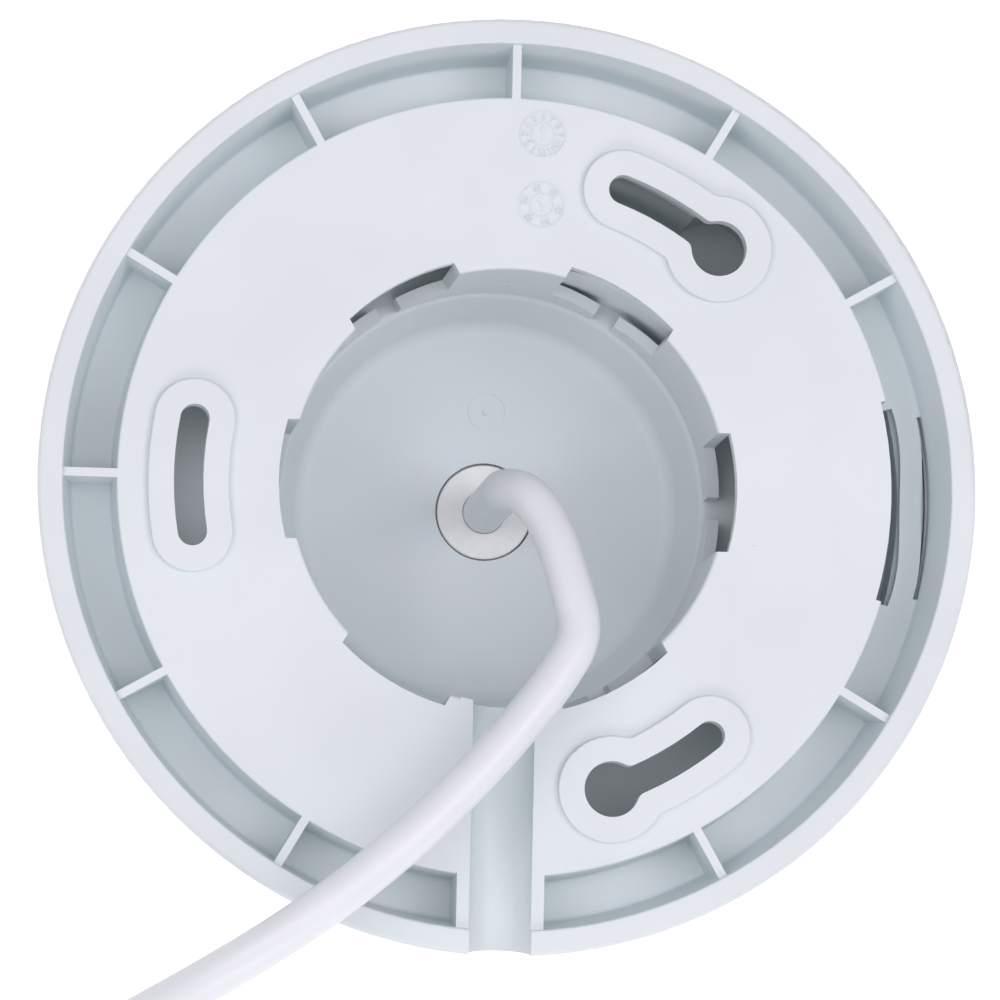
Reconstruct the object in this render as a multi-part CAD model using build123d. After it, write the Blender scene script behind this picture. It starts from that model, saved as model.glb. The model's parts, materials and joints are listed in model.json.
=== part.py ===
from build123d import *
import math
import os

# Heat detector: twist-lock mounting base, detector head and its pre-wired lead.
# It lies face down: the sensor cage rests on z = 0 and the ceiling side faces +Z.
# All sizes are in millimetres.

# ---------------------------------------------------------------- heights
rim_top = 58.0                       # the plane that goes against the ceiling
plate_top = rim_top - 0.9
plate_under = plate_top - 1.8
channel_floor = rim_top - 9.7
base_under = channel_floor - 1.6
tube_end = rim_top - 23.2
deck_top = base_under - 0.5
deck_under = deck_top - 1.6
ledge_top = tube_end - 0.3
dish_floor = rim_top - 31.0
dish_under = dish_floor - 1.8
board_top = 18.6
board_under = 17.0
cover_floor = 10.0
cover_floor_inner = 12.0

# ---------------------------------------------------------------- radii of the base
rim_radius = 60.0
wall_lean = 2.3 / 9.7                # the outer wall narrows by this much for each mm of height
rim_inner = 56.7
channel_outer = 55.1                  # the wall's inner face at the channel floor
rib_thickness = 1.1
plate_radius = 49.8
skirt_inner = 48.2
tube_inner = 27.7
tube_outer = 29.2
screw_circle = 40.75
slot_half_angle = 10.1
slot_half_width = 1.875
keyhole_radius = 3.55
pad_border = 3.3
screw_places = [(180, False), (60, True), (-60, True)]

# ---------------------------------------------------------------- cable groove and latch
groove_radius = 3.95
groove_wall = 1.6
latch_middle = 52.8
latch_half_width = 1.4

# ---------------------------------------------------------------- twist lock
lock_angles = [90, 210, 330]
lug_span = 14.0
ledge_span = 15.0
lug_low = base_under + 1.8
lug_high = lug_low + 1.3
spigot_inner = 43.4
spigot_outer = 45.0
spigot_top = lug_high + 0.2
lug_radius = 47.6
catch_inner = 46.0

# ---------------------------------------------------------------- head
cup_outer = 44.8
floor_thickness = 1.8
dish_rim = 27.4
dish_floor_radius = 24.5
grommet_hole = 6.4
deck_radius = 54.8
cover_radius = 57.0
cover_wall = 2.0
cover_flat_radius = 26.0
cover_screw_circle = 48.6
cover_screw_angles = [75, 195, 315]
board_radius = 38.0
board_screw_circle = 20.5
board_screw_angles = [45, 165, 285]
cage_radius = 16.0
cage_flange = 17.8
cage_disc_radius = 15.5
fin_count = 10
side_item_radius = 22.2              # circle of the test button and the light pipe
button_travel = 1.1

# ---------------------------------------------------------------- lead
lead_diameter = 5.5
lead_radius = lead_diameter / 2
core_radius = 0.65
lead_start = 24.0
coil_radius = 30.0
coil_turned = 630.0                  # degrees wound in the coil
end_stub_length = 14.0
end_height = lead_radius + 0.55       # centre line of the straight end, which its collar lifts

# Corners of the lead's centre line: up out of the recess, over it, across the plate and the
# rim, and down to the surface that the detector lies on.
lead_route = [
    (0.0, 0.0, lead_start),
    (0.0, 0.0, 35.0),
    (0.3, 0.4, 44.5),
    (0.1, 0.2, 51.3),
    (2.6, -0.7, 56.0),
    (5.6, -5.6, 58.9),
    (7.5, -12.2, 61.4),
    (9.2, -19.2, 63.2),
    (6.0, -24.9, 64.6),
    (0.9, -31.6, 65.8),
    (-6.4, -40.1, 67.2),
    (-16.7, -50.0, 68.7),
    (-28.4, -58.8, 68.4),
    (-39.5, -65.6, 63.5),
    (-48.2, -70.4, 54.3),
    (-55.3, -73.9, 39.8),
    (-62.9, -77.2, 26.0),
    (-74.2, -81.8, 16.0),
    (-88.5, -85.9, 10.6),
    (-101.5, -87.3, 9.3),
]

os.makedirs("parts", exist_ok=True)


# ---------------------------------------------------------------- helpers
def save(name, *solids):
    """Write one node, whose solids stay separate."""
    pieces = []
    for item in solids:
        pieces.extend(item.solids())
    shape = pieces[0] if len(pieces) == 1 else Compound(children=pieces)
    shape.label = name
    export_step(shape, f"parts/{name}.step")


def around(angle, radius, height=0.0):
    """The location at an angle and a radius about Z, with its X axis pointing outwards."""
    return Rot(0, 0, angle) * Pos(radius, 0, height)


def disc(radius, low, high):
    return Pos(0, 0, low) * extrude(Circle(radius), high - low)


def ring(inner, outer, low, high):
    return Pos(0, 0, low) * extrude(Circle(outer) - Circle(inner), high - low)


def sector(inner, outer, start, end, low, high):
    """Part of a flat ring between two angles."""
    reach = 2 * outer
    middle = (start + end) / 2
    half = math.radians((end - start) / 2)
    wedge = Polygon((0, 0), (reach, -reach * math.tan(half)), (reach, reach * math.tan(half)), align=None)
    shape = (Circle(outer) - Circle(inner)) & wedge
    return Rot(0, 0, middle) * Pos(0, 0, low) * extrude(shape, high - low)


def turned(points, *corners):
    """Revolve a closed outline of (radius, height) points; corners are (point, fillet radius)."""
    face = make_face(Plane.XZ * Polyline(*points, close=True))
    for (radius, height), size in corners:
        vertex = face.vertices().sort_by_distance((radius, 0, height))[0]
        face = fillet([vertex], size)
    return revolve(face, Axis.Z)


def wall_radius(height):
    """Outer radius of the base's leaning wall."""
    return rim_radius - wall_lean * (rim_top - height)


def arc_slot(half_width):
    """Flat outline of a curved slot centred on the X axis."""
    arc = CenterArc((0, 0), screw_circle, -slot_half_angle, 2 * slot_half_angle)
    return SlotArc(arc, 2 * half_width)


def screw_outline(border, keyhole):
    """Outline of a screw slot, grown by a border; the wide end of a keyhole is clockwise."""
    outline = arc_slot(slot_half_width + border)
    if keyhole:
        end = Rot(0, 0, -slot_half_angle) * Pos(screw_circle, 0)
        outline = outline + end * Circle(keyhole_radius + border)
        centre = end.position
        reach = keyhole_radius + border
        necks = [v for v in outline.vertices() if abs((v.center() - centre).length - reach) < 0.05]
        outline = fillet(necks, 1.3)
    return outline


def pan_screw(shank_radius, head_radius, head_height, length):
    """Pan-head screw with its head's seat at z = 0, its shank towards +Z and a cross recess."""
    head = Pos(0, 0, -head_height) * extrude(Circle(head_radius), head_height)
    head = fillet(head.edges().group_by(Axis.Z)[0], head_height * 0.45)
    shank = extrude(Circle(shank_radius), length)
    shank = chamfer(shank.edges().group_by(Axis.Z)[-1], shank_radius * 0.5)
    cross = Rectangle(head_radius * 1.1, 0.5) + Rectangle(0.5, head_radius * 1.1)
    recess = Pos(0, 0, -head_height) * extrude(cross, head_height * 0.55)
    return head + shank - recess


def pipe(points, radii, radius):
    """Round bar along straight runs that tangent arcs join, and its centre line."""
    path = FilletPolyline(*points, radius=radii)
    start = Plane(origin=path @ 0, z_dir=path % 0)
    return sweep(start * Circle(radius), path=path), path


def corner_radii(points, share=0.45):
    """The largest arc for each corner: a share of the shorter run over tan(half the turn)."""
    radii = []
    for before, corner, after in zip(points, points[1:], points[2:]):
        run_in = Vector(*corner) - Vector(*before)
        run_out = Vector(*after) - Vector(*corner)
        half_turn = math.radians(run_in.get_angle(run_out)) / 2
        radii.append(share * min(run_in.length, run_out.length) / math.tan(half_turn))
    return radii


# ---------------------------------------------------------------- mounting base
def base_envelope(top):
    """Everything inside the base's leaning wall, outside its bore."""
    cone = turned([(tube_inner, base_under), (wall_radius(base_under), base_under),
                   (wall_radius(top), top), (tube_inner, top)])
    return cone


def base_shell():
    floor_inner = plate_radius + 0.2
    floor_outer = channel_outer
    return turned(
        [(rim_radius, rim_top), (wall_radius(base_under), base_under), (skirt_inner, base_under),
         (skirt_inner, plate_under), (tube_outer, plate_under), (tube_outer, tube_end),
         (tube_inner, tube_end), (tube_inner, plate_top), (plate_radius, plate_top),
         (floor_inner, channel_floor), (floor_outer, channel_floor), (rim_inner, rim_top)],
        ((rim_radius, rim_top), 0.6), ((rim_inner, rim_top), 0.3), ((tube_inner, plate_top), 0.5),
        ((plate_radius, plate_top), 0.3), ((tube_outer, tube_end), 0.7), ((floor_inner, channel_floor), 0.5),
        ((floor_outer, channel_floor), 0.5), ((skirt_inner, plate_under), 0.6),
        ((tube_outer, plate_under), 0.6))


def base_ribs():
    """Ribs across the channel every 30 degrees, except at the latch and the cable groove."""
    inner = plate_radius - 0.4
    outer = rim_inner - 0.1
    rib = Pos((inner + outer) / 2, 0, channel_floor - 0.2) * extrude(
        Rectangle(outer - inner, rib_thickness), plate_top - channel_floor + 0.2)
    ribs = Part()
    for angle in range(30, 360, 30):
        if angle != 270:
            ribs += Rot(0, 0, angle) * rib
    return ribs


def groove_bar(radius):
    """A bar with a round underside that slopes up outwards along -Y."""
    start = Vector(0, -tube_inner + 1.5, rim_top - 3.6)
    end = Vector(0, -rim_radius - 1.0, rim_top - 0.75)
    along = end - start
    plane = Plane(origin=start, x_dir=(1, 0, 0), z_dir=along)
    upward = 12.0 if plane.y_dir.Z > 0 else -12.0
    section = Circle(radius) + Pos(0, upward / 2) * Rectangle(2 * radius, 12.0)
    return extrude(plane * section, along.length)


def groove_trough():
    """Walls of the cable groove, under the plate and across the channel."""
    bar = groove_bar(groove_radius + groove_wall)
    bridge_inner = plate_radius - 1.0
    bridge_outer = wall_radius(base_under) - 0.5
    bridge = Pos(0, -(bridge_inner + bridge_outer) / 2, channel_floor - 0.5) * extrude(
        Rectangle(2 * (groove_radius + groove_wall), bridge_outer - bridge_inner),
        plate_top - channel_floor + 0.5)
    return (bar + bridge) & base_envelope(plate_top)


def window_cutter():
    """Window in the tube with a V-shaped sill and a slit below it, on the +X side."""
    half = 7.6
    slit = 1.45
    sill = plate_top - 15.5
    dip = plate_top - 18.0
    outline = Polyline((half, rim_top), (half, sill), (slit, dip), (slit, tube_end - 1),
                       (-slit, tube_end - 1), (-slit, dip), (-half, sill), (-half, rim_top), close=True)
    face = make_face(Plane.YZ * outline)
    bar = Pos(tube_inner - 4, 0, 0) * extrude(face, 8.0, dir=(1, 0, 0))
    return bar & disc(tube_outer + 0.05, tube_end - 2, rim_top + 1)


def latch_beam():
    """The springy strip between the two slots in the channel floor; it bows outwards twice."""
    places = [(-16.0, 52.9), (-7.5, 53.2), (0.0, latch_middle), (7.5, 53.2), (16.0, 52.9)]

    def edge(side):
        return Spline(*[((radius + side) * Vector(math.cos(math.radians(angle)),
                                                  math.sin(math.radians(angle)), 0))
                        for angle, radius in places])

    inner = edge(-latch_half_width)
    outer = edge(latch_half_width)
    ends = [Line(inner @ 0, outer @ 0), Line(inner @ 1, outer @ 1)]
    strip = Pos(0, 0, base_under) * extrude(make_face([inner, outer] + ends), channel_floor - base_under)
    bump = Pos(latch_middle, 0, base_under - 0.45) * extrude(Rectangle(1.6, 2.4), 0.6)
    return strip + bump


def latch_slots():
    """The space round the springy strip: a longer inner slot and a shorter outer one."""
    low = base_under - 1
    high = channel_floor + 0.7
    inner = sector(plate_radius - 0.35, latch_middle, -14.5, 14.1, low, high)
    outer = sector(latch_middle, channel_outer + 0.1, -12.6, 12.2, low, high)
    return inner + outer


def date_dial(turn):
    """A moulder's date insert: two shallow rings and an arrow, slightly raised."""
    raised = 0.17
    marks = Circle(3.0) - Circle(2.8)
    marks += Circle(1.55) - Circle(1.42)
    marks += Rot(0, 0, turn) * (Rectangle(0.24, 1.7) + Pos(0, 0.85) * Triangle(a=0.85, b=0.62, c=0.62))
    return extrude(marks, raised)


def tube_nub():
    """Small triangular key on the inside of the tube, at +90 degrees."""
    face = Plane.YZ * Triangle(a=1.7, b=1.5, c=1.5)
    return Rot(0, 0, 90) * Pos(tube_inner - 0.35, 0, plate_top - 11.5) * extrude(face, 0.8, dir=(1, 0, 0))


def mounting_base():
    body = base_shell() + base_ribs() + groove_trough()
    for angle, keyhole in screw_places:
        pad = extrude(screw_outline(pad_border, keyhole), rim_top - plate_top + 0.4)
        pad = fillet(pad.edges().group_by(Axis.Z)[-1], 0.25)
        body += Rot(0, 0, angle) * Pos(0, 0, plate_top - 0.4) * pad
    for angle in lock_angles:
        body += sector(catch_inner, skirt_inner + 0.3, angle - ledge_span / 2, angle + ledge_span / 2,
                       base_under, base_under + 1.5)
    stop_angle = lock_angles[0] + lug_span / 2 + 2.6
    body += sector(catch_inner, skirt_inner + 0.3, stop_angle - 2, stop_angle + 2, base_under, lug_high)
    body += tube_nub()
    body += Pos(3.5, 45.1, plate_top - 0.05) * date_dial(0)
    body += Pos(3.5, 36.0, plate_top - 0.05) * date_dial(15)
    for angle, keyhole in screw_places:
        body -= Rot(0, 0, angle) * Pos(0, 0, plate_under - 2) * extrude(screw_outline(0, keyhole), 6)
    for angle in range(0, 360, 60):
        body -= Rot(0, 0, angle) * window_cutter()
    body -= groove_bar(groove_radius)
    cut_back = sector(plate_radius - 0.75, plate_radius + 0.6, -15.5, 14.5, channel_floor + 0.6, rim_top)
    body -= cut_back
    return body - latch_slots() + latch_beam()


# ---------------------------------------------------------------- rear housing of the head
def housing_shell():
    """Deep cup that the base's tube stands in, with a dish in its middle and a deck round it."""
    cup_floor_under = ledge_top - floor_thickness
    return turned(
        [(grommet_hole, dish_floor), (dish_floor_radius, dish_floor), (dish_rim, ledge_top),
         (spigot_inner, ledge_top), (spigot_inner, spigot_top), (spigot_outer, spigot_top),
         (spigot_outer, deck_top), (deck_radius, deck_top), (deck_radius, deck_under),
         (cup_outer, deck_under), (cup_outer, cup_floor_under), (dish_rim + 1.4, cup_floor_under),
         (dish_floor_radius + 1.6, dish_under), (grommet_hole, dish_under)],
        ((dish_floor_radius, dish_floor), 2.2), ((dish_rim, ledge_top), 1.0),
        ((spigot_inner, ledge_top), 1.2), ((cup_outer, cup_floor_under), 1.6),
        ((dish_floor_radius + 1.6, dish_under), 2.5))


def wire_wall():
    """Curved wall on the cup's floor, off centre, just outside the tube."""
    place = Pos(3.43, 2.9, 0)
    wall = place * sector(26.0, 27.3, 46, 81, ledge_top - 0.3, rim_top - 8.5)
    return chamfer(wall.edges().group_by(Axis.Z)[-1], 0.35)


def screw_reliefs():
    """Round bulges of the cup's wall, and their room, under the wide ends of the keyholes."""
    centre_radius = screw_circle + 2.1
    room_radius = 5.0
    cup_floor_under = ledge_top - floor_thickness
    walls = Part()
    rooms = Part()
    for angle, keyhole in screw_places:
        if keyhole:
            place = around(angle - slot_half_angle, centre_radius)
            walls += place * disc(room_radius + 1.4, cup_floor_under, deck_top - 0.1)
            rooms += place * disc(room_radius, ledge_top, spigot_top + 0.1)
    return walls - disc(spigot_inner + 0.3, cup_floor_under - 1, deck_top + 1), rooms


def latch_trough():
    """Blind trough in the deck under the inner slot beside the latch strip: its walls and its room."""
    inner = plate_radius - 0.6
    outer = latch_middle - 1.4
    walls = sector(inner - 0.9, outer + 0.8, -16.4, 16.4, deck_top - 7.0, deck_under + 0.2)
    room = sector(inner, outer, -15.4, 15.4, deck_top - 6.0, deck_top + 0.5)
    return walls, room


def rear_housing():
    relief_walls, relief_rooms = screw_reliefs()
    trough_walls, trough_room = latch_trough()
    body = housing_shell() + relief_walls + trough_walls - relief_rooms - trough_room + wire_wall()
    for angle in lock_angles:
        body += sector(spigot_outer - 0.3, lug_radius, angle - lug_span / 2, angle + lug_span / 2,
                       lug_low, lug_high)
    for angle in board_screw_angles:
        body += around(angle, board_screw_circle) * disc(2.9, board_top, dish_under + 0.5)
    for angle in cover_screw_angles:
        body += around(angle, cover_screw_circle) * disc(3.9, deck_top - 6.0, deck_top - 0.2)
    for angle in range(15, 360, 30):
        stiffener = Pos((dish_rim + cup_outer) / 2 + 1, 0, ledge_top - floor_thickness - 2.6) * extrude(
            Rectangle(cup_outer - dish_rim - 3.0, 1.2), 2.8)
        body += Rot(0, 0, angle) * stiffener
    for angle in board_screw_angles:
        body -= around(angle, board_screw_circle) * disc(1.0, board_top - 1, dish_under + 0.9)
    for angle in cover_screw_angles:
        body -= around(angle, cover_screw_circle) * disc(3.05, deck_top - 2.8, deck_top + 1)
        body -= around(angle, cover_screw_circle) * disc(1.6, deck_top - 8, deck_top)
    body -= Pos(latch_middle, 0, deck_top - 0.5) * extrude(Rectangle(2.0, 2.9), 1.0)
    gate = Pos(0, 13.1, dish_floor)
    body -= gate * Pos(0, 0, -0.08) * extrude(Circle(2.5) - Circle(2.36), 1.0)
    return body + gate * Pos(0, 0, -0.2) * extrude(Circle(0.4), 0.5)


def lead_grommet():
    """Soft bush that seals the lead into the floor of the recess."""
    face_height = dish_floor - 0.15
    face_radius = grommet_hole - 0.25
    body = turned(
        [(lead_radius + 0.05, dish_under - 1.4), (grommet_hole + 1.7, dish_under - 1.4),
         (grommet_hole + 1.7, dish_under), (face_radius, dish_under),
         (face_radius, face_height), (lead_radius + 0.05, face_height - 0.3)],
        ((face_radius, face_height), 0.25), ((grommet_hole + 1.7, dish_under - 1.4), 0.4))
    return body


# ---------------------------------------------------------------- front cover
def cover_outline(inset):
    """Quarter-ellipse dome with a flat front; inset makes the inside of the wall."""
    wide = cover_radius - cover_flat_radius - inset
    tall = deck_top - cover_floor - inset
    dome = EllipticalCenterArc((cover_flat_radius, deck_top), wide, tall, start_angle=270, arc_size=90)
    bottom = Line((0, cover_floor + inset), dome @ 0)
    top = Line(dome @ 1, (0, deck_top))
    axis = Line((0, deck_top), (0, cover_floor + inset))
    return revolve(Plane.XZ * make_face([bottom, dome, top, axis]), Axis.Z)


def front_cover():
    body = cover_outline(0) - cover_outline(cover_wall)
    shelf = turned([(cover_radius - 4.5, deck_under - 2.6), (cover_radius - 1.2, deck_under - 4.6),
                    (cover_radius - 1.0, deck_under - 1.0), (cover_radius - 4.5, deck_under - 1.0)])
    body += shelf & cover_outline(0.5)
    for angle in cover_screw_angles:
        post = around(angle, cover_screw_circle) * disc(3.4, 18.0, deck_top - 6.1)
        body += post & cover_outline(1.0)
    for angle in cover_screw_angles:
        body -= around(angle, cover_screw_circle) * disc(4.0, deck_top - 6.1, deck_top)
        body -= around(angle, cover_screw_circle) * disc(1.15, deck_top - 16.0, deck_top)
    body -= disc(cage_radius + 0.15, cover_floor - 1, cover_floor_inner + 1)
    body -= Pos(0, side_item_radius) * disc(3.15, cover_floor - 1, cover_floor_inner + 1)
    body -= Pos(0, -side_item_radius) * disc(1.55, cover_floor - 1, cover_floor_inner + 1)
    collar = ring(cage_flange + 0.15, cage_flange + 0.9, cover_floor_inner - 0.2, cover_floor_inner + 0.8)
    collar -= Pos(0, side_item_radius) * disc(4.6, 0, 20)
    collar -= Pos(0, -side_item_radius) * disc(2.6, 0, 20)
    return body + collar


def cover_seal():
    """Flat rubber ring between the cover's shelf and the deck."""
    body = ring(cover_radius - 4.2, cover_radius - 2.4, deck_under - 1.0, deck_under)
    for angle in cover_screw_angles:
        body -= around(angle, cover_screw_circle) * disc(4.1, deck_under - 2, deck_under + 1)
    return body


# ---------------------------------------------------------------- heat sensing
def sensor_cage():
    """Open cage: a flanged ring, slim fins and a round end disc that guards the bead."""
    neck = 11.5
    ring_part = turned(
        [(cage_radius - 1.8, cover_floor - 1.0), (cage_radius, cover_floor - 1.0),
         (cage_radius, cover_floor_inner), (cage_flange, cover_floor_inner),
         (cage_flange, cover_floor_inner + 1.1), (cage_radius - 1.8, cover_floor_inner + 1.1)])
    end_disc = turned(
        [(0, 0), (cage_disc_radius - 1.0, 0), (cage_disc_radius, 1.0), (cage_disc_radius - 0.6, 1.9),
         (0, 1.4)], ((cage_disc_radius, 1.0), 0.4))
    body = ring_part + end_disc
    fin = Pos((neck + cage_radius) / 2 - 0.3, 0, 1.2) * extrude(
        Rectangle(cage_radius - neck, 1.5), cover_floor - 1.0)
    for index in range(fin_count):
        body += Rot(0, 0, 360 * (index + 0.5) / fin_count) * fin
    return body


def bead_with_legs(bead_height, bead_radius, leg_gap, leg_top):
    """Bead thermistor: an epoxy drop on two wires that reach the board."""
    bead = Pos(0, 0, bead_height) * Sphere(bead_radius)
    bead += disc(bead_radius * 0.7, bead_height, bead_height + 2 * bead_radius)
    legs = []
    for side in (-1, 1):
        legs.append(Pos(side * leg_gap, 0, 0) * disc(0.25, bead_height + 2 * bead_radius, leg_top))
    return [bead] + legs


# ---------------------------------------------------------------- electronics
def circuit_board():
    body = disc(board_radius, board_under, board_top)
    for angle in board_screw_angles:
        body -= around(angle, board_screw_circle) * disc(1.25, board_under - 1, board_top + 1)
    for side in (-1, 1):
        body -= Pos(side * 0.9, 0, 0) * disc(0.35, board_under - 1, board_top + 1)
    return body


def lead_header():
    """Shrouded pin header, open towards the lead."""
    shell = Pos(19.5, 0, board_top) * extrude(Rectangle(7.0, 11.0), 5.4)
    pocket = Pos(18.0, 0, board_top + 0.8) * extrude(Rectangle(6.0, 9.4), 3.9)
    return shell - pocket


def lead_plug():
    body = Pos(17.75, 0, board_top + 0.9) * extrude(Rectangle(6.0, 9.2), 3.6)
    key = Pos(17.0, 0, board_top + 4.5) * extrude(Rectangle(3.0, 2.0), 0.15)
    return body + key


def inner_cores():
    cores = []
    run_height = board_top + 2.4
    for index in range(4):
        offset = (index - 1.5) * 1.35
        spread = (index - 1.5) * 2.0
        points = [(0, offset, 21.9), (0, offset, run_height - 0.8),
                  (7.5, (offset + spread) / 2, run_height - 1.0),
                  (11.0, spread, run_height), (14.75, spread, run_height)]
        core, path = pipe(points, [0.7, 4.0, 3.0], core_radius * 0.92)
        cores.append(core)
    return cores


def sheath_stub():
    """The end of the lead's sheath, inside the head."""
    return disc(lead_radius, 21.9, lead_start)


def strain_tie():
    """Cable tie that keeps the lead from being pulled out."""
    band = ring(lead_radius + 0.03, lead_radius + 1.1, 22.2, 23.7)
    head = Pos(0, lead_radius + 2.2, 22.1) * extrude(Rectangle(3.2, 2.8), 1.6)
    return band + head


def relay():
    place = Pos(-10.5, 15.6, board_top)
    body = Pos(0, 0, 0.3) * extrude(Rectangle(14.0, 9.0), 4.9)
    body = fillet(body.edges().filter_by(Axis.Z), 0.6)
    solids = [place * body]
    for column in range(5):
        for side in (-1, 1):
            leg = Pos((column - 2) * 2.54, side * 5.0) * extrude(Rectangle(0.6, 0.96), 0.5)
            solids.append(place * leg)
    return solids


def capacitor():
    foot = Pos(-14.0, -11.0, board_top) * extrude(Rectangle(6.8, 6.8), 0.8)
    foot = chamfer(foot.edges().filter_by(Axis.Z).sort_by(Axis.X)[:2], 1.2)
    can = Pos(-14.0, -11.0, 0) * disc(3.15, board_top + 0.8, board_top + 5.8)
    can = fillet(can.edges().group_by(Axis.Z)[-1], 0.4)
    waist = Pos(-14.0, -11.0, 0) * ring(2.95, 3.4, board_top + 1.5, board_top + 1.9)
    return [foot, can - waist]


def microcontroller():
    place = Pos(3.0, 14.5, 0)
    body = place * Pos(0, 0, board_top + 0.15) * extrude(Rectangle(7.0, 7.0), 1.1)
    body = chamfer(body.edges().group_by(Axis.Z)[-1], 0.15)
    solids = [body]
    for turn in range(4):
        for index in range(8):
            leg = Pos(3.95, (index - 3.5) * 0.8, board_top) * extrude(Rectangle(0.9, 0.32), 0.5)
            solids.append(place * Rot(0, 0, 90 * turn) * leg)
    return solids


def chip_components():
    """Surface-mounted resistors, capacitors and diodes in short rows."""
    solids = []
    rows = [(-4.0, -8.0, 5, 2.6, 0), (-6.0, -14.5, 6, 2.6, 0), (14.0, -13.0, 4, 2.2, 90),
            (-26.0, -4.0, 4, 2.4, 90), (9.6, 8.0, 5, 2.2, 90), (-4.0, 25.0, 5, 2.6, 0)]
    for x, y, count, pitch, angle in rows:
        for index in range(count):
            chip = Pos(0, 0, board_top) * extrude(Rectangle(1.2, 2.0), 0.6)
            along = Pos(x, y) * Rot(0, 0, angle) * Pos(index * pitch, 0)
            solids.append(along * chip)
    return solids


def rectifier():
    body = Pos(-2.0, -26.5, board_top + 0.1) * extrude(Rectangle(6.2, 4.6), 2.2)
    body = chamfer(body.edges().group_by(Axis.Z)[-1], 0.3)
    legs = []
    for x in (-1, 1):
        for y in (-1, 1):
            legs.append(Pos(-2.0 + x * 1.9, -26.5 + y * 2.8, board_top) * extrude(Rectangle(1.0, 1.0), 0.5))
    return [body] + legs


def status_led():
    body = Pos(0, -side_item_radius, board_under - 0.9) * extrude(Rectangle(3.0, 2.6), 0.9)
    lens = Pos(0, -side_item_radius, 0) * disc(1.1, board_under - 1.1, board_under - 0.9)
    return body + lens


def light_pipe():
    """Clear rod that carries the indicator's light through the cover."""
    body = disc(1.5, cover_floor - 0.3, board_under - 1.4)
    body = fillet(body.edges().group_by(Axis.Z)[0], 0.5)
    body += disc(2.05, cover_floor_inner, cover_floor_inner + 0.9)
    return Pos(0, -side_item_radius) * body


# ---------------------------------------------------------------- test button
def test_button():
    cap = disc(3.0, cover_floor - 0.8, cover_floor_inner + 0.1)
    cap = fillet(cap.edges().group_by(Axis.Z)[0], 0.5)
    flange = disc(3.9, cover_floor_inner + 0.05, cover_floor_inner + 0.85)
    stem = disc(1.4, cover_floor_inner + 0.5, board_under - 1.5 - button_travel)
    return Pos(0, side_item_radius) * (cap + flange + stem)


def tact_switch():
    body = Pos(0, side_item_radius, board_under - 1.2) * extrude(Rectangle(4.4, 4.4), 1.2)
    dome = Pos(0, side_item_radius) * disc(1.3, board_under - 1.4, board_under - 1.2)
    return body + dome


def button_spring():
    """Light compression spring round the button's stem, from its flange to the board."""
    low = cover_floor_inner + 0.85
    wire = 0.2
    helix = Helix(pitch=1.15, height=board_under - low - 2 * wire, radius=3.45)
    start = Plane(origin=helix @ 0, z_dir=helix % 0)
    coil = sweep(start * Circle(wire), path=helix)
    return Pos(0, side_item_radius, low + wire) * coil


# ---------------------------------------------------------------- lead outside the head
def coil_place():
    """Centre of the coil and the angle at which the lead enters it; it winds clockwise."""
    last = Vector(*lead_route[-1])
    heading = last - Vector(*lead_route[-2])
    heading = Vector(heading.X, heading.Y, 0).normalized()
    right = Vector(heading.Y, -heading.X, 0)
    centre = Vector(last.X, last.Y, 0) + right * coil_radius
    entry = math.degrees(math.atan2(last.Y - centre.Y, last.X - centre.X))
    return centre, entry


def lead_tube(radius):
    return pipe(lead_route, corner_radii(lead_route), radius)


def end_frame():
    """Where the lead leaves the coil: the local X axis is its heading along the floor."""
    centre, entry = coil_place()
    angle = entry - coil_turned
    return Pos(centre.X, centre.Y, end_height) * Rot(0, 0, angle) * Pos(coil_radius, 0, 0) * Rot(0, 0, -90)


def lead_coil(tube_cutter, tie_cutter):
    centre, entry = coil_place()
    layers = 2 * lead_diameter
    body = Pos(centre.X, centre.Y) * ring(coil_radius - lead_radius, coil_radius + lead_radius, 0, layers)
    body = fillet(body.edges().filter_by(GeomType.CIRCLE), 2.0)
    space = lead_diameter + 2.4
    end_cutter = end_frame() * Pos(30, 0, -end_height - 0.6) * extrude(Rectangle(60, space), space)
    return body - tube_cutter - end_cutter - tie_cutter


def tie_frame():
    centre, entry = coil_place()
    return Pos(centre.X, centre.Y) * Rot(0, 0, 180) * Pos(coil_radius, 0, 0)


def coil_tie():
    """Cable tie round both layers of the coil; its band runs under the lead."""
    band_thickness = 1.1
    wide = lead_diameter + 2.4
    tall = 2 * lead_diameter + 2 * band_thickness + 0.1
    outer = extrude(Rectangle(wide, 3.6), tall)
    inner = Pos(0, 0, band_thickness) * extrude(Rectangle(wide - 2.0, 5.0), tall - 2 * band_thickness)
    head = Pos(0, 0, tall) * extrude(Rectangle(5.0, 5.2), 2.6)
    return tie_frame() * (outer - inner + head)


def tie_space():
    """What the tie's band takes from the coil."""
    return tie_frame() * extrude(Rectangle(lead_diameter + 4.4, 3.8), 1.15)


def lead_end():
    """Straight end of the sheath, its shrunk-on collar, four bare-ended cores and ferrules."""
    place = end_frame()
    along = place * Rot(0, 90, 0)
    stub = along * extrude(Circle(lead_radius), end_stub_length)
    collar = along * Pos(0, 0, end_stub_length - 9.0) * extrude(
        Circle(lead_radius + 0.5) - Circle(lead_radius + 0.02), 11.5)
    return stub, collar


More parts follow.
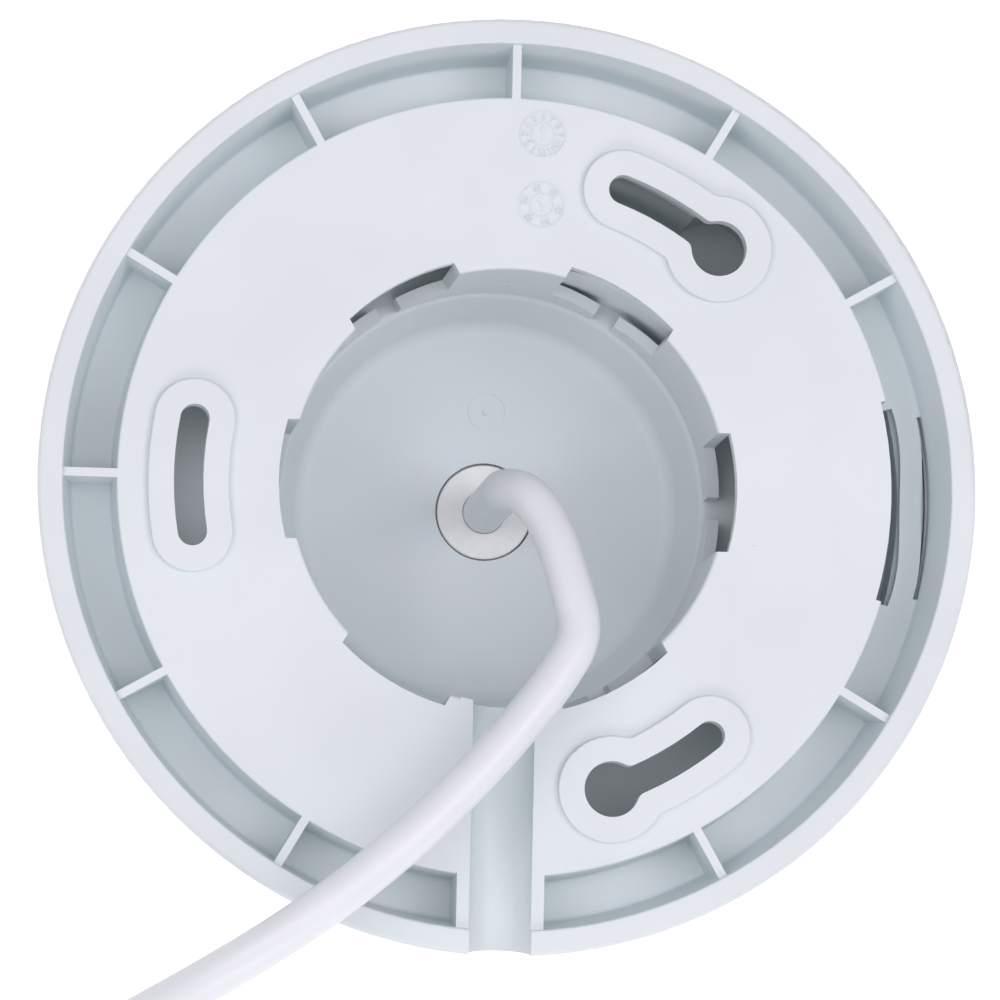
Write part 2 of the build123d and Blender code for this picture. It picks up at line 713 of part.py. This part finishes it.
def core_tails():
    """Four cores that fan out from the sheath and lie down on the surface."""
    place = end_frame()
    tails = []
    ends = []
    for index in range(4):
        side = index - 1.5
        low = core_radius + 0.35 - end_height
        offset = -0.8 if index % 2 else 0.8
        start = end_stub_length
        points = [(start, side * 0.95, offset), (start + 6.0, side * 0.95, offset),
                  (start + 13.0, side * 3.0, low + 0.4), (start + 21.0, side * 5.4, low)]
        tail, path = pipe(points, corner_radii(points), core_radius)
        tails.append(place * tail)
        tip = Plane(origin=path @ 1, z_dir=path % 1)
        collar = extrude(tip * Circle(core_radius + 0.2), 2.2)
        barrel = extrude(tip.offset(2.2) * Circle(core_radius - 0.1), 6.0)
        ends.append(place * (collar + barrel))
    return tails, ends


# ---------------------------------------------------------------- write the nodes
tube, tube_path = lead_tube(lead_radius)
expected = math.pi * lead_radius ** 2 * tube_path.length
coil_length = math.radians(coil_turned) * coil_radius
print("lead tube length", round(tube_path.length, 1), "volume ratio", round(tube.volume / expected, 4))
print("lead tube radii", [round(radius, 1) for radius in corner_radii(lead_route)])
print("coil length", round(coil_length, 1))
print("whole sheath", round(tube_path.length + coil_length + end_stub_length, 1))

save("mounting_base", mounting_base())
save("rear_housing", rear_housing())
save("lead_grommet", lead_grommet())
save("front_cover", front_cover())
save("cover_seal", cover_seal())
save("sensor_cage", sensor_cage())
save("sensing_thermistor", *bead_with_legs(5.2, 1.2, 0.9, board_top - 0.2))
save("reference_thermistor", *[Pos(-9.0, 4.0, 0) * item
                               for item in bead_with_legs(board_under - 2.6, 0.9, 0.6, board_under)])
save("circuit_board", circuit_board())
save("lead_header", lead_header())
save("lead_plug", lead_plug())
save("inner_cores", *inner_cores())
save("sheath_stub", sheath_stub())
save("strain_tie", strain_tie())
save("relay", *relay())
save("capacitor", *capacitor())
save("microcontroller", *microcontroller())
save("chip_components", *chip_components())
save("rectifier", *rectifier())
save("status_led", status_led())
save("light_pipe", light_pipe())
save("test_button", test_button())
save("tact_switch", tact_switch())
save("button_spring", button_spring())
save("board_screws", *[around(angle, board_screw_circle, board_under) * pan_screw(0.95, 2.1, 1.5, 7.6)
                       for angle in board_screw_angles])
save("cover_screws", *[around(angle, cover_screw_circle, deck_top - 2.8) * Rot(180, 0, 0)
                       * pan_screw(1.1, 2.8, 1.9, 10.0) for angle in cover_screw_angles])
save("lead_tube", tube)
tube_space = lead_tube(lead_radius + 0.15)[0]
save("lead_coil", lead_coil(tube_space, tie_space()))
save("coil_tie", coil_tie())
stub, collar = lead_end()
save("lead_end", stub)
save("end_collar", collar)
tails, ferrules = core_tails()
save("core_tails", *tails)
save("core_ferrules", *ferrules)
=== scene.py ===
import json
import math

import bmesh
import bpy
from mathutils import Matrix, Vector


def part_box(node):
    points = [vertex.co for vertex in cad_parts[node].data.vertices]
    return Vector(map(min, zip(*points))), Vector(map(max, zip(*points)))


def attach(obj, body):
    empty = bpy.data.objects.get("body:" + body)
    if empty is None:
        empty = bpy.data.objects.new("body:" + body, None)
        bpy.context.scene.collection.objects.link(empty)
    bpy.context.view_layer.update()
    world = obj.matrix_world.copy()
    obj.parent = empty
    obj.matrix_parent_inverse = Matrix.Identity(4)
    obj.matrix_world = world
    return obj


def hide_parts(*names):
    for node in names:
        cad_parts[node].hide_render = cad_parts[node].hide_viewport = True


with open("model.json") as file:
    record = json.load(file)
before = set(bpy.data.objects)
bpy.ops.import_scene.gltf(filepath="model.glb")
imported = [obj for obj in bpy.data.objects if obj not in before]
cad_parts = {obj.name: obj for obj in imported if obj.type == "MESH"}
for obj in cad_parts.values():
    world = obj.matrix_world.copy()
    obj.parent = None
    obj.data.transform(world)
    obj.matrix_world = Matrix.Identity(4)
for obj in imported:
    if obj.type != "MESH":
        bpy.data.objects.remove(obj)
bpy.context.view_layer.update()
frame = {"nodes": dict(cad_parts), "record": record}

MM = 0.001
NODES = frame["nodes"]
rim_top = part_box("mounting_base")[1].z

# ---------------------------------------------------------------- lead: the same numbers as the CAD
LEAD_DIAMETER = 5.5 * MM
LEAD_RADIUS = LEAD_DIAMETER / 2
COIL_RADIUS = 30.0 * MM
COIL_TURNED = 630
COIL_STEP = 30
END_STUB = 14.0 * MM
END_HEIGHT = LEAD_RADIUS + 0.55 * MM
CORE_RADIUS = 0.65 * MM

# Control points of the lead, in millimetres, from the bush in the recess to the coil. The x and y of
# the fourth to the thirteenth were moved from given starting places by a fitting program.
LEAD_ROUTE = [
    (0.0, 0.0, 24.0),
    (0.0, 0.0, 35.0),
    (0.3, 0.4, 44.5),
    (0.1, 0.2, 51.3),
    (2.6, -0.7, 56.0),
    (5.6, -5.6, 58.9),
    (7.5, -12.2, 61.4),
    (9.2, -19.2, 63.2),
    (6.0, -24.9, 64.6),
    (0.9, -31.6, 65.8),
    (-6.4, -40.1, 67.2),
    (-16.7, -50.0, 68.7),
    (-28.4, -58.8, 68.4),
    (-39.5, -65.6, 63.5),
    (-48.2, -70.4, 54.3),
    (-55.3, -73.9, 39.8),
    (-62.9, -77.2, 26.0),
    (-74.2, -81.8, 16.0),
    (-88.5, -85.9, 10.6),
    (-101.5, -87.3, 9.3),
]

# Height of the lead's centre line in the coil, in millimetres, against the degrees wound.
COIL_HEIGHTS = [
    (0, 9.2), (45, 8.4), (70, 8.6), (96, 9.4), (122, 8.6), (150, 8.4), (210, 8.4), (255, 8.9),
    (285, 8.8), (325, 5.6), (365, 2.85), (390, 2.75), (430, 2.9), (456, 3.85), (482, 2.9),
    (510, 2.75), (590, 2.8), (630, 3.3), (640, 3.3),
]


# Bare cores, in millimetres: side by side, in turn above and below the lead's axis.
CORE_SPACING = 0.95
CORE_OFFSET = 0.8
CORE_FAN = 5.4
CORE_CLEARANCE = 0.35                  # the tips lie this much above touching the surface


# ---------------------------------------------------------------- node helpers
def new_material(name):
    """An empty node material: its tree, its Principled shader and its object coordinates."""
    material = bpy.data.materials.new(name)
    material.use_nodes = True
    tree = material.node_tree
    shader = tree.nodes["Principled BSDF"]
    place = tree.nodes.new("ShaderNodeTexCoord")
    return material, tree, shader, place.outputs["Object"]


def noise(tree, place, size, detail=3.0, stretch=None):
    """Noise whose features are about this size, in metres."""
    texture = tree.nodes.new("ShaderNodeTexNoise")
    texture.inputs["Scale"].default_value = 1.0 / size
    texture.inputs["Detail"].default_value = detail
    texture.inputs["Roughness"].default_value = 0.55
    if stretch:
        mapping = tree.nodes.new("ShaderNodeMapping")
        mapping.inputs["Scale"].default_value = stretch
        tree.links.new(place, mapping.inputs["Vector"])
        place = mapping.outputs["Vector"]
    tree.links.new(place, texture.inputs["Vector"])
    return texture.outputs["Fac"]


def remap(tree, value, low, high, to_low, to_high):
    """Carry a value from one range to another, clamped."""
    node = tree.nodes.new("ShaderNodeMapRange")
    node.inputs["From Min"].default_value = low
    node.inputs["From Max"].default_value = high
    node.inputs["To Min"].default_value = to_low
    node.inputs["To Max"].default_value = to_high
    tree.links.new(value, node.inputs["Value"])
    return node.outputs["Result"]


def mix_colours(tree, factor, first, second):
    """Blend two colours; each is a socket or three numbers."""
    node = tree.nodes.new("ShaderNodeMix")
    node.data_type = "RGBA"
    for socket, value in ((node.inputs[6], first), (node.inputs[7], second)):
        if isinstance(value, tuple):
            socket.default_value = (*value, 1.0)
        else:
            tree.links.new(value, socket)
    tree.links.new(factor, node.inputs["Factor"])
    return node.outputs[2]


def bump(tree, height, depth, before=None):
    """Bump of this depth, in metres, on top of an earlier bump."""
    node = tree.nodes.new("ShaderNodeBump")
    node.inputs["Strength"].default_value = 1.0
    node.inputs["Distance"].default_value = depth
    tree.links.new(height, node.inputs["Height"])
    if before:
        tree.links.new(before, node.inputs["Normal"])
    return node.outputs["Normal"]


def shade(colour, factor):
    """The same colour, lighter or darker."""
    return tuple(channel * factor for channel in colour)


def specks(tree, place, size, amount):
    """1 inside small round specks, in this share of cells of this size; 0 elsewhere."""
    cells = tree.nodes.new("ShaderNodeTexVoronoi")
    cells.inputs["Scale"].default_value = 1.0 / size
    tree.links.new(place, cells.inputs["Vector"])
    near = remap(tree, cells.outputs["Distance"], 0.015, 0.035, 1.0, 0.0)
    separate = tree.nodes.new("ShaderNodeSeparateColor")
    tree.links.new(cells.outputs["Color"], separate.inputs["Color"])
    chosen = tree.nodes.new("ShaderNodeMath")
    chosen.operation = "GREATER_THAN"
    chosen.inputs[1].default_value = 1.0 - amount
    tree.links.new(separate.outputs[0], chosen.inputs[0])
    both = tree.nodes.new("ShaderNodeMath")
    both.operation = "MULTIPLY"
    tree.links.new(near, both.inputs[0])
    tree.links.new(chosen.outputs[0], both.inputs[1])
    return both.outputs[0]


# ---------------------------------------------------------------- materials
def moulded_plastic(name, colour, roughness, grain=0.35 * MM, speck_share=0.0):
    """Injection-moulded plastic: soft flow mottling, a fine eroded grain and dull patches."""
    grain_depth = 0.008 * MM
    material, tree, shader, place = new_material(name)
    flow = noise(tree, place, 22 * MM, 2.0)
    flow_share = remap(tree, flow, 0.35, 0.65, 0.0, 1.0)
    mottled = mix_colours(tree, flow_share, shade(colour, 0.975), shade(colour, 1.015))
    if speck_share:
        dots = specks(tree, place, 4.5 * MM, speck_share)
        mottled = mix_colours(tree, dots, mottled, shade(colour, 0.55))
    tree.links.new(mottled, shader.inputs["Base Color"])
    patches = noise(tree, place, 6 * MM, 3.0)
    dullness = remap(tree, patches, 0.3, 0.7, roughness - 0.05, roughness + 0.05)
    tree.links.new(dullness, shader.inputs["Roughness"])
    fine = bump(tree, noise(tree, place, grain, 2.0), grain_depth)
    wavy = bump(tree, noise(tree, place, 9 * MM, 1.0), grain_depth * 2.0, fine)
    tree.links.new(wavy, shader.inputs["Normal"])
    return material


def rubber(name, colour, roughness):
    """Matt elastomer with a powdery surface."""
    material, tree, shader, place = new_material(name)
    cloud = noise(tree, place, 2.2 * MM, 4.0)
    dusty = mix_colours(tree, remap(tree, cloud, 0.4, 0.7, 0.0, 1.0), colour, shade(colour, 1.07))
    tree.links.new(dusty, shader.inputs["Base Color"])
    dullness = remap(tree, cloud, 0.3, 0.7, roughness - 0.06, roughness + 0.06)
    tree.links.new(dullness, shader.inputs["Roughness"])
    tree.links.new(bump(tree, noise(tree, place, 0.25 * MM, 3.0), 0.012 * MM), shader.inputs["Normal"])
    shader.inputs["Sheen Weight"].default_value = 0.15
    return material


def sheath(name, colour, roughness):
    """Extruded jacket: satin skin with a soft gloss and faint die waves."""
    material, tree, shader, place = new_material(name)
    cloud = noise(tree, place, 14 * MM, 2.0)
    cloud_share = remap(tree, cloud, 0.35, 0.65, 0.0, 1.0)
    tinted = mix_colours(tree, cloud_share, shade(colour, 0.98), shade(colour, 1.01))
    tree.links.new(tinted, shader.inputs["Base Color"])
    dullness = remap(tree, cloud, 0.3, 0.7, roughness - 0.04, roughness + 0.04)
    tree.links.new(dullness, shader.inputs["Roughness"])
    fine = bump(tree, noise(tree, place, 0.3 * MM, 2.0), 0.003 * MM)
    waves = bump(tree, noise(tree, place, 4 * MM, 1.5), 0.02 * MM, fine)
    tree.links.new(waves, shader.inputs["Normal"])
    shader.inputs["Coat Weight"].default_value = 0.22
    shader.inputs["Coat Roughness"].default_value = 0.2
    return material


def metal(name, colour, roughness, stretch=(1.0, 1.0, 8.0)):
    """Plated or drawn metal with fine scratches."""
    material, tree, shader, place = new_material(name)
    lines = noise(tree, place, 0.5 * MM, 4.0, stretch=stretch)
    tone = mix_colours(tree, remap(tree, lines, 0.3, 0.7, 0.0, 1.0), shade(colour, 0.88), colour)
    tree.links.new(tone, shader.inputs["Base Color"])
    dullness = remap(tree, lines, 0.3, 0.7, roughness - 0.08, roughness + 0.1)
    tree.links.new(dullness, shader.inputs["Roughness"])
    tree.links.new(bump(tree, lines, 0.004 * MM), shader.inputs["Normal"])
    shader.inputs["Metallic"].default_value = 1.0
    return material


def clear_plastic(name, colour):
    """Slightly milky clear plastic."""
    material, tree, shader, place = new_material(name)
    haze = noise(tree, place, 1.5 * MM, 2.0)
    tree.links.new(remap(tree, haze, 0.3, 0.7, 0.1, 0.24), shader.inputs["Roughness"])
    tree.links.new(mix_colours(tree, haze, colour, shade(colour, 0.94)), shader.inputs["Base Color"])
    shader.inputs["Transmission Weight"].default_value = 0.85
    shader.inputs["IOR"].default_value = 1.49
    return material


def board_mask(name):
    """Green solder mask with faint tracks under it."""
    material, tree, shader, place = new_material(name)
    tracks = tree.nodes.new("ShaderNodeTexBrick")
    tracks.inputs["Scale"].default_value = 1.0 / (9 * MM)
    tracks.inputs["Mortar Size"].default_value = 0.035
    tracks.inputs["Color1"].default_value = (0.012, 0.105, 0.045, 1)
    tracks.inputs["Color2"].default_value = (0.015, 0.115, 0.05, 1)
    tracks.inputs["Mortar"].default_value = (0.03, 0.2, 0.09, 1)
    tree.links.new(place, tracks.inputs["Vector"])
    tree.links.new(tracks.outputs["Color"], shader.inputs["Base Color"])
    shader.inputs["Roughness"].default_value = 0.32
    tree.links.new(bump(tree, tracks.outputs["Fac"], 0.02 * MM), shader.inputs["Normal"])
    return material


# White plastics with a faint blue-green cast, which their shaded hollows deepen.
BASE_WHITE = (0.675, 0.765, 0.78)
HOUSING_WHITE = (0.69, 0.775, 0.79)
LEAD_WHITE = (0.735, 0.805, 0.83)

materials = {
    "base_plastic": moulded_plastic("base_plastic", BASE_WHITE, 0.48, speck_share=0.03),
    "housing_plastic": moulded_plastic("housing_plastic", HOUSING_WHITE, 0.52, speck_share=0.02),
    "cover_plastic": moulded_plastic("cover_plastic", (0.68, 0.755, 0.77), 0.42, grain=0.5 * MM),
    "grommet_rubber": rubber("grommet_rubber", (0.83, 0.875, 0.865), 0.68),
    "seal_rubber": rubber("seal_rubber", (0.03, 0.03, 0.032), 0.75),
    "lead_sheath": sheath("lead_sheath", LEAD_WHITE, 0.42),
    "core_insulation": sheath("core_insulation", (0.62, 0.04, 0.03), 0.34),
    "ferrule_metal": metal("ferrule_metal", (0.74, 0.74, 0.72), 0.3),
    "collar_plastic": sheath("collar_plastic", (0.60, 0.65, 0.665), 0.5),
    "tie_plastic": moulded_plastic("tie_plastic", (0.69, 0.755, 0.72), 0.4, grain=0.8 * MM),
    "board_laminate": board_mask("board_laminate"),
    "component_plastic": moulded_plastic("component_plastic", (0.022, 0.022, 0.025), 0.55),
    "component_metal": metal("component_metal", (0.70, 0.71, 0.73), 0.28),
    "chip_ceramic": moulded_plastic("chip_ceramic", (0.16, 0.11, 0.07), 0.5),
    "connector_plastic": moulded_plastic("connector_plastic", (0.72, 0.68, 0.56), 0.45),
    "bead_epoxy": sheath("bead_epoxy", (0.015, 0.015, 0.017), 0.15),
    "lamp_plastic": clear_plastic("lamp_plastic", (0.93, 0.94, 0.95)),
    "button_plastic": moulded_plastic("button_plastic", (0.55, 0.58, 0.61), 0.4),
    "spring_steel": metal("spring_steel", (0.60, 0.61, 0.63), 0.25, (1.0, 1.0, 0.3)),
    "screw_steel": metal("screw_steel", (0.66, 0.67, 0.70), 0.3),
}
core_materials = [
    materials["core_insulation"],
    sheath("core_yellow", (0.72, 0.50, 0.04), 0.34),
    sheath("core_green", (0.03, 0.30, 0.09), 0.34),
    sheath("core_black", (0.02, 0.02, 0.022), 0.34),
]

for part in frame["record"]["subparts"]:
    mesh_object = NODES[part["node"]]
    mesh_object.data.materials.clear()
    mesh_object.data.materials.append(materials[part["material_slot"]])


# ---------------------------------------------------------------- curves
def round_curve(name, points, radius, material):
    """A round bar along one open NURBS spline with these control points, in metres."""
    curve = bpy.data.curves.new(name, "CURVE")
    curve.dimensions = "3D"
    curve.resolution_u = 16
    curve.bevel_depth = radius
    curve.bevel_resolution = 8
    curve.use_fill_caps = True
    spline = curve.splines.new("NURBS")
    spline.points.add(len(points) - 1)
    for point, place in zip(spline.points, points):
        point.co = (*place, 1.0)
    spline.order_u = 3
    spline.use_endpoint_u = True
    curve.materials.append(material)
    piece = bpy.data.objects.new(name, curve)
    bpy.context.scene.collection.objects.link(piece)
    return piece


def interpolate(table, value):
    """Straight-line reading of a table of (place, value) pairs."""
    for (low, start), (high, end) in zip(table, table[1:]):
        if value <= high:
            return start + (end - start) * (value - low) / (high - low)
    return table[-1][1]


def coil_start():
    """Centre of the coil, and the angle at which the lead comes into it; it winds clockwise."""
    last = Vector(LEAD_ROUTE[-1]) * MM
    heading = last - Vector(LEAD_ROUTE[-2]) * MM
    heading.z = 0.0
    heading.normalize()
    centre = last + Vector((heading.y, -heading.x, 0.0)) * COIL_RADIUS
    return centre, math.degrees(math.atan2(last.y - centre.y, last.x - centre.x))


coil_centre, coil_entry = coil_start()


def end_frame():
    """Matrix at the lead's straight end: local X is its heading, the origin is on its axis."""
    angle = math.radians(coil_entry - COIL_TURNED)
    corner = Matrix.Translation((coil_centre.x, coil_centre.y, END_HEIGHT))
    return corner @ Matrix.Rotation(angle, 4, "Z") @ Matrix.Translation((COIL_RADIUS, 0, 0)) \
        @ Matrix.Rotation(math.radians(-90), 4, "Z")


def lead_points():
    """Control points of the whole lead: its route, the turns of its coil and its straight end."""
    points = [Vector(point) * MM for point in LEAD_ROUTE]
    corner_radius = COIL_RADIUS / math.cos(math.radians(COIL_STEP / 2))
    turned = COIL_STEP / 2
    while turned < COIL_TURNED:
        angle = math.radians(coil_entry - turned)
        points.append(Vector((
            coil_centre.x + corner_radius * math.cos(angle),
            coil_centre.y + corner_radius * math.sin(angle),
            interpolate(COIL_HEIGHTS, turned) * MM,
        )))
        turned += COIL_STEP
    place = end_frame()
    points.append(place @ Vector((8.0 * MM, 0, 0)))
    points.append(place @ Vector((END_STUB, 0, 0)))
    return points


def core_tail_points(index):
    """Control points of one bare-ended core, which fans out and comes down to the surface."""
    place = end_frame()
    side = index - 1.5
    low = (CORE_RADIUS - END_HEIGHT) / MM + CORE_CLEARANCE
    offset = -CORE_OFFSET if index % 2 else CORE_OFFSET
    start = END_STUB / MM
    points = [
        (start - 1.0, side * CORE_SPACING, offset),
        (start + 6.0, side * CORE_SPACING, offset),
        (start + 13.0, side * 3.0, low + 0.4),
        (start + 21.0, side * CORE_FAN, low),
    ]
    return [place @ (Vector(point) * MM) for point in points]


def inner_core_points(index):
    """Control points of one core inside the head, from the sheath's end to the plug."""
    plug_low, plug_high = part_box("lead_plug")
    height = (plug_low.z + plug_high.z) / 2 / MM - 0.3
    side = index - 1.5
    offset = side * 1.35
    spread = side * 2.0
    points = [
        (0.0, offset, 21.9),
        (0.0, offset, height - 0.8),
        (7.5, (offset + spread) / 2, height - 1.0),
        (11.0, spread, height),
        (14.75, spread, height),
    ]
    return [Vector(point) * MM for point in points]


lead_line = lead_points()
lead = round_curve("lead", lead_line, LEAD_RADIUS, materials["lead_sheath"])
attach(lead, "head")
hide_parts("lead_tube", "lead_coil", "lead_end")

for number, core_material in enumerate(core_materials):
    tail = round_curve(f"core_tail_{number + 1}", core_tail_points(number), CORE_RADIUS, core_material)
    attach(tail, "head")
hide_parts("core_tails")

inner_core_radius = 0.9 * CORE_RADIUS
for number, core_material in enumerate(core_materials):
    core_line = inner_core_points(number)
    core = round_curve(f"inner_core_{number + 1}", core_line, inner_core_radius, core_material)
    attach(core, "head")
    if number == 0:
        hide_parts("inner_cores")


# ---------------------------------------------------------------- numbers on the date inserts
def number_ring(name, centre, numbers, first_angle, size):
    """Small raised numbers round a date insert, clockwise, their tops pointing outwards."""
    raised = 0.22 * MM
    ring_radius = 2.2 * MM
    step = 360 / len(numbers)
    whole = bmesh.new()
    for index, number in enumerate(numbers):
        letters = bpy.data.curves.new("digits", "FONT")
        letters.body = number
        letters.size = size
        letters.extrude = raised / 2
        letters.offset = 0.02 * MM
        letters.align_x = "CENTER"
        letters.align_y = "CENTER"
        letters.resolution_u = 3
        source = bpy.data.objects.new("digits", letters)
        angle = math.radians(first_angle - index * step)
        direction = Vector((math.cos(angle), math.sin(angle), 0))
        place = Matrix.Translation(Vector(centre) + direction * ring_radius)
        place = place @ Matrix.Rotation(angle - math.radians(90), 4, "Z")
        outline = bpy.data.meshes.new_from_object(source)
        outline.transform(place)
        whole.from_mesh(outline)
        bpy.data.meshes.remove(outline)
        bpy.data.objects.remove(source)
        bpy.data.curves.remove(letters)
    mesh = bpy.data.meshes.new(name)
    whole.to_mesh(mesh)
    whole.free()
    mesh.materials.append(materials["base_plastic"])
    piece = bpy.data.objects.new(name, mesh)
    bpy.context.scene.collection.objects.link(piece)
    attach(piece, "base")


number_height = rim_top - 0.85 * MM
number_size = 1.15 * MM
dial_x = 3.5 * MM
number_ring("dial_numbers_outer", (dial_x, 45.1 * MM, number_height),
            ["6", "7", "8", "9", "10", "11", "12", "1", "2", "3", "4", "5"], 90, number_size)
number_ring("dial_numbers_inner", (dial_x, 36.0 * MM, number_height),
            ["01", "02", "03", "04", "05", "06"], 105, number_size)


# ---------------------------------------------------------------- floor, lights and camera
def make_floor():
    """Wide white surface; it glows a little, so that the picture's ground is pure white."""
    half = 3.0
    mesh = bpy.data.meshes.new("floor")
    corners = [(-half, -half, 0), (half, -half, 0), (half, half, 0), (-half, half, 0)]
    mesh.from_pydata(corners, [], [(0, 1, 2, 3)])
    material, tree, shader, place = new_material("floor_paper")
    paper = noise(tree, place, 300 * MM, 2.0)
    tone = mix_colours(tree, paper, (0.95, 0.95, 0.95), (0.93, 0.93, 0.93))
    tree.links.new(tone, shader.inputs["Base Color"])
    shader.inputs["Roughness"].default_value = 0.9
    shader.inputs["Specular IOR Level"].default_value = 0.1
    shader.inputs["Emission Color"].default_value = (1.0, 1.0, 1.0, 1.0)
    shader.inputs["Emission Strength"].default_value = 0.28
    mesh.materials.append(material)
    floor = bpy.data.objects.new("floor", mesh)
    bpy.context.scene.collection.objects.link(floor)


def add_area_light(name, place, target, width, length, power, colour):
    """Soft box aimed at the target; sizes in metres, power in watts."""
    light = bpy.data.lights.new(name, "AREA")
    light.shape = "RECTANGLE"
    light.size = width
    light.size_y = length
    light.energy = power
    light.color = colour
    lamp = bpy.data.objects.new(name, light)
    lamp.location = place
    aim = Vector(target) - Vector(place)
    lamp.rotation_euler = aim.to_track_quat("-Z", "Y").to_euler()
    bpy.context.scene.collection.objects.link(lamp)


def light_scene():
    """Even light from all round, two soft boxes high up at the sides, one overhead and one in front."""
    world = bpy.data.worlds.new("studio")
    world.use_nodes = True
    background = world.node_tree.nodes["Background"]
    studio_white = (1.0, 0.914, 0.96)
    background.inputs["Color"].default_value = (*studio_white, 1.0)
    background.inputs["Strength"].default_value = 0.52
    bpy.context.scene.world = world
    middle = Vector((0, 0, rim_top))
    overhead = middle + Vector((0.0, -0.1, 1.6))
    left = middle + Vector((-0.95, 0.0, 1.4))
    right = middle + Vector((0.95, 0.0, 1.4))
    front = middle + Vector((0.0, -1.25, 0.75))
    add_area_light("overhead", overhead, middle, 1.2, 0.7, 5.0, studio_white)
    add_area_light("left_box", left, middle, 0.9, 0.7, 4.8, studio_white)
    add_area_light("right_box", right, middle, 0.9, 0.7, 6.4, studio_white)
    add_area_light("front_box", front, middle, 1.2, 0.6, 5.0, studio_white)
    scene = bpy.context.scene
    scene.view_settings.view_transform = "Standard"
    scene.view_settings.look = "None"


def place_camera():
    """The photograph's view: nearly straight down, from far away, a little left and in front."""
    back = Vector((-0.10189, -0.11645, 0.98796))
    up = Vector((-0.03220, 0.99299, 0.11372))
    right = up.cross(back)
    aim = Vector((-1.162, -1.998, 0.0)) * MM + Vector((0, 0, rim_top))
    distance = 1.18715
    focal_length = 337.24
    data = bpy.data.cameras.new("camera")
    data.lens = focal_length
    data.sensor_width = 36.0
    data.clip_start = 0.01
    camera = bpy.data.objects.new("camera", data)
    turn = Matrix((right, up, back)).transposed().to_4x4()
    camera.matrix_world = Matrix.Translation(aim + back * distance) @ turn
    bpy.context.scene.collection.objects.link(camera)
    bpy.context.scene.camera = camera


make_floor()
light_scene()
place_camera()

bpy.context.view_layer.update()
